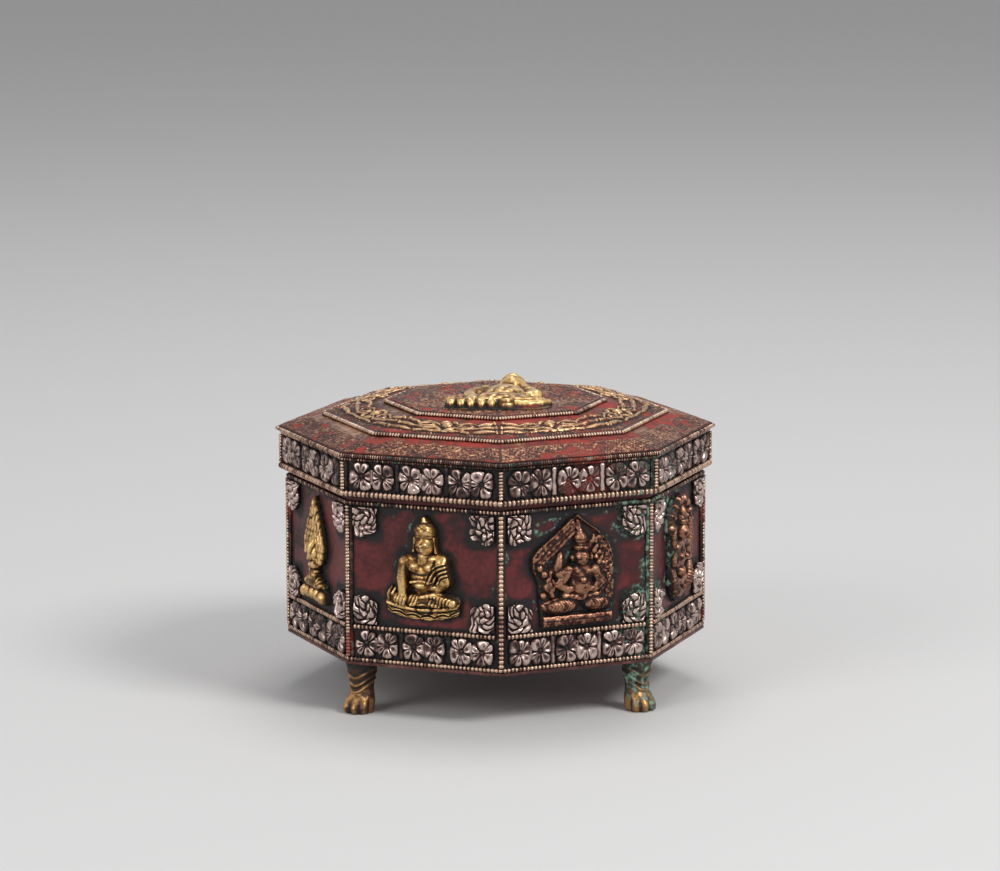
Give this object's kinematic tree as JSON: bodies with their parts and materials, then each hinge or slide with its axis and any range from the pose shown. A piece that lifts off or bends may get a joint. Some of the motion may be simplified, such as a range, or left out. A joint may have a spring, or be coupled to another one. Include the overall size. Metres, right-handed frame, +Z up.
{
  "type": "ghau amulet box",
  "caption": "Octagonal footed amulet box with relief figures on its panels, beaded wire borders, lion-paw feet and a stepped lift-off lid.",
  "frame": {"origin": "on the floor under the middle of the box", "axes": "+Z up; one corner of the octagon points to -Y, the front; +X to the viewer's right"},
  "size_m": [0.1406, 0.1406, 0.0989],
  "materials": {
    "wall_copper": "dark patinated copper",
    "foot_bronze": "cast bronze, worn bright on the toes",
    "wire_bronze": "beaded wire, worn",
    "silvered_trim": "silvered, blackened in the recesses",
    "gilt": "gilt casting, worn",
    "figure_copper": "dull copper with verdigris",
    "roof_copper": "chased copper with worn red lacquer"
  },
  "bodies": {
    "body": {"body_wall": "wall_copper", "base_plate": "wall_copper", "foot_front_left": "foot_bronze", "foot_front_right": "foot_bronze", "foot_back_right": "foot_bronze", "foot_back_left": "foot_bronze", "corner_post_front": "wire_bronze", "corner_post_front_right": "wire_bronze", "corner_post_right": "wire_bronze", "corner_post_back_right": "wire_bronze", "corner_post_back": "wire_bronze", "corner_post_back_left": "wire_bronze", "corner_post_left": "wire_bronze", "corner_post_front_left": "wire_bronze", "base_wire": "wire_bronze", "ledge_wire": "wire_bronze", "band_wires": "wire_bronze", "figure_front_left": "gilt", "corner_leaves_front_left": "silvered_trim", "band_florets_front_left": "silvered_trim", "figure_front_right": "figure_copper", "corner_leaves_front_right": "silvered_trim", "band_florets_front_right": "silvered_trim", "figure_right_front": "figure_copper", "corner_leaves_right_front": "silvered_trim", "band_florets_right_front": "silvered_trim", "figure_right_back": "gilt", "corner_leaves_right_back": "silvered_trim", "band_florets_right_back": "silvered_trim", "figure_back_right": "gilt", "corner_leaves_back_right": "silvered_trim", "band_florets_back_right": "silvered_trim", "figure_back_left": "figure_copper", "corner_leaves_back_left": "silvered_trim", "band_florets_back_left": "silvered_trim", "figure_left_back": "figure_copper", "corner_leaves_left_back": "silvered_trim", "band_florets_left_back": "silvered_trim", "figure_left_front": "gilt", "corner_leaves_left_front": "silvered_trim", "band_florets_left_front": "silvered_trim"},
    "lid": {"lid_skirt": "wall_copper", "lid_top": "roof_copper", "skirt_lower_wire": "wire_bronze", "skirt_upper_wire": "wire_bronze", "rim_wire": "wire_bronze", "tier_wire_outer": "wire_bronze", "tier_wire_inner": "wire_bronze", "lid_corner_posts": "wire_bronze", "skirt_florets_front_left": "silvered_trim", "skirt_florets_front_right": "silvered_trim", "skirt_florets_right_front": "silvered_trim", "skirt_florets_right_back": "silvered_trim", "skirt_florets_back_right": "silvered_trim", "skirt_florets_back_left": "silvered_trim", "skirt_florets_left_back": "silvered_trim", "skirt_florets_left_front": "silvered_trim", "tier_scrolls": "gilt", "lid_figure": "gilt"}
  },
  "joints": [
    {"name": "lid_lift", "type": "slide", "parent": "body", "child": "lid", "axis": [0, 0, 1], "range_m": [0, 0.09]}
  ]
}
